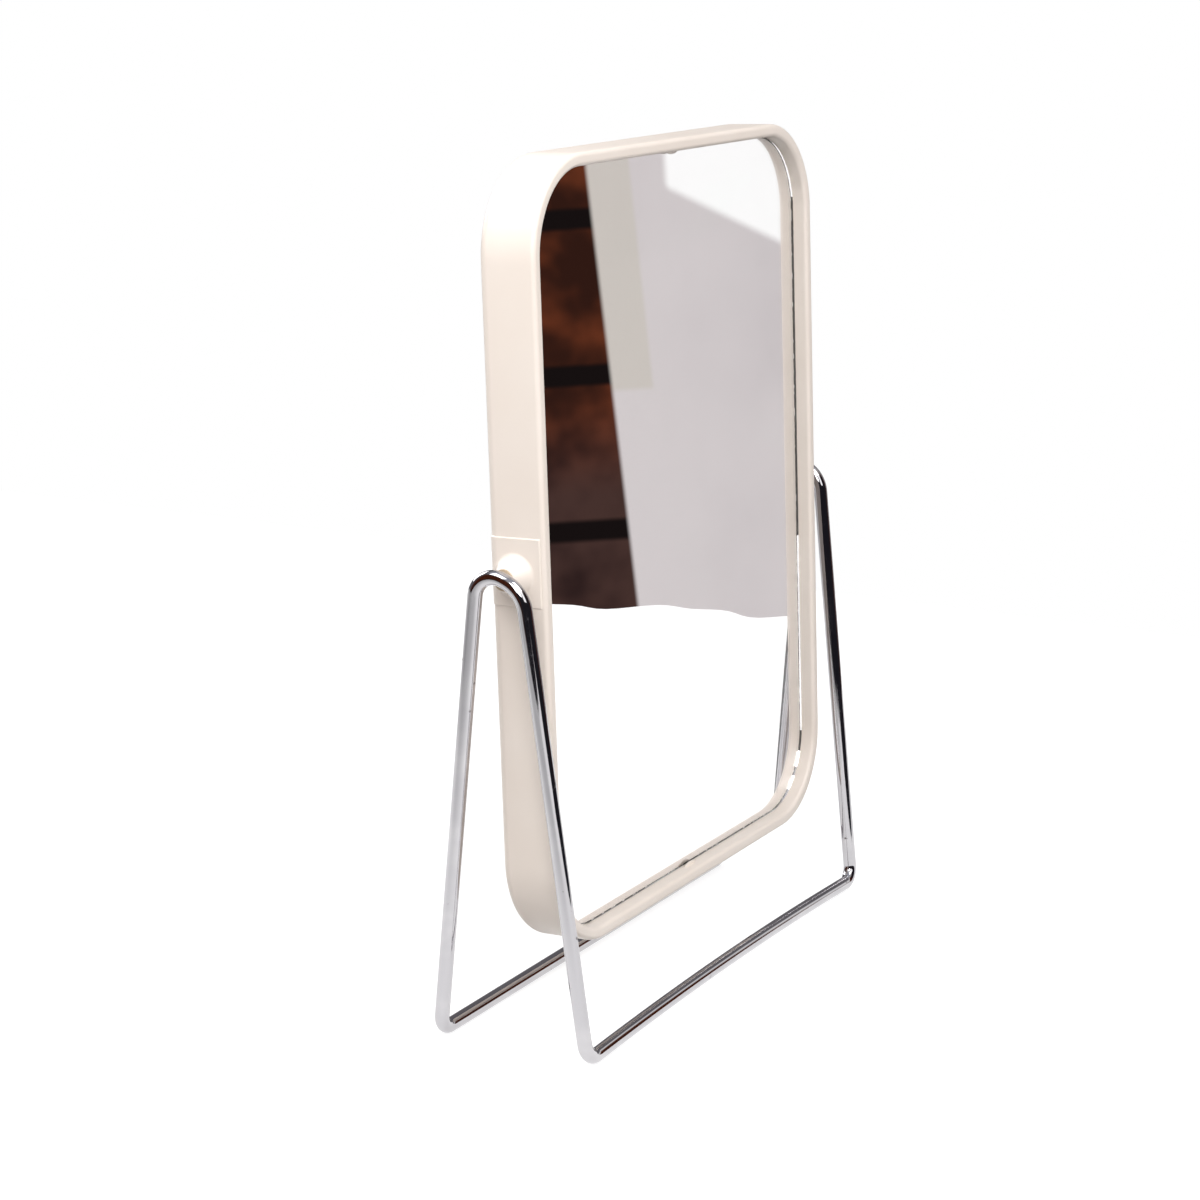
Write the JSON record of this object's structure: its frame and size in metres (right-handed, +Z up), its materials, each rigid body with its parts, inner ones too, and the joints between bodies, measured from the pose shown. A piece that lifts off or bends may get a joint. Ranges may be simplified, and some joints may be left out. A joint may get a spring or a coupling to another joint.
{
  "type": "vanity mirror",
  "caption": "Table mirror: rounded rectangular pane in a deep plastic case that tilts between the tops of a bent chromed wire stand.",
  "frame": {"origin": "on the table, midway between the four feet", "axes": "+Z up, the mirror faces -Y, +X is the right-hand side seen from the front; the pivot line runs along X"},
  "size_m": [0.1832, 0.0492, 0.2368],
  "materials": {
    "chromed_wire": "polished chrome plate with fine pits",
    "ivory_plastic": "smooth, soft gloss",
    "pane": "clear float glass with a ground edge",
    "silver": "mirror silvering with grey paint behind",
    "foam": "closed-cell foam",
    "grey_card": "plain",
    "cover_plastic": "fine matt grain",
    "screw_steel": "zinc plated",
    "pin_steel": "bright drawn",
    "spring_steel": "oiled spring steel",
    "tan_fibre": "pressed fibre"
  },
  "bodies": {
    "stand": {"wire_stand": "chromed_wire", "left_pivot_pin": "pin_steel", "left_friction_washer": "tan_fibre", "left_thrust_washer": "screw_steel", "left_spring_washer": "spring_steel", "left_retaining_clip": "spring_steel", "right_pivot_pin": "pin_steel", "right_friction_washer": "tan_fibre", "right_thrust_washer": "screw_steel", "right_spring_washer": "spring_steel", "right_retaining_clip": "spring_steel"},
    "head": {"case_frame": "ivory_plastic", "mirror_glass": "pane", "mirror_silvering": "silver", "foam_tape": "foam", "backing_card": "grey_card", "foam_blocks": "foam", "back_cover": "cover_plastic", "cover_screws": "screw_steel"}
  },
  "joints": [
    {"name": "head_tilt", "type": "hinge", "parent": "stand", "child": "head", "pos_m": [0, 0, 0.1302], "axis": [1, 0, 0], "continuous": true}
  ]
}
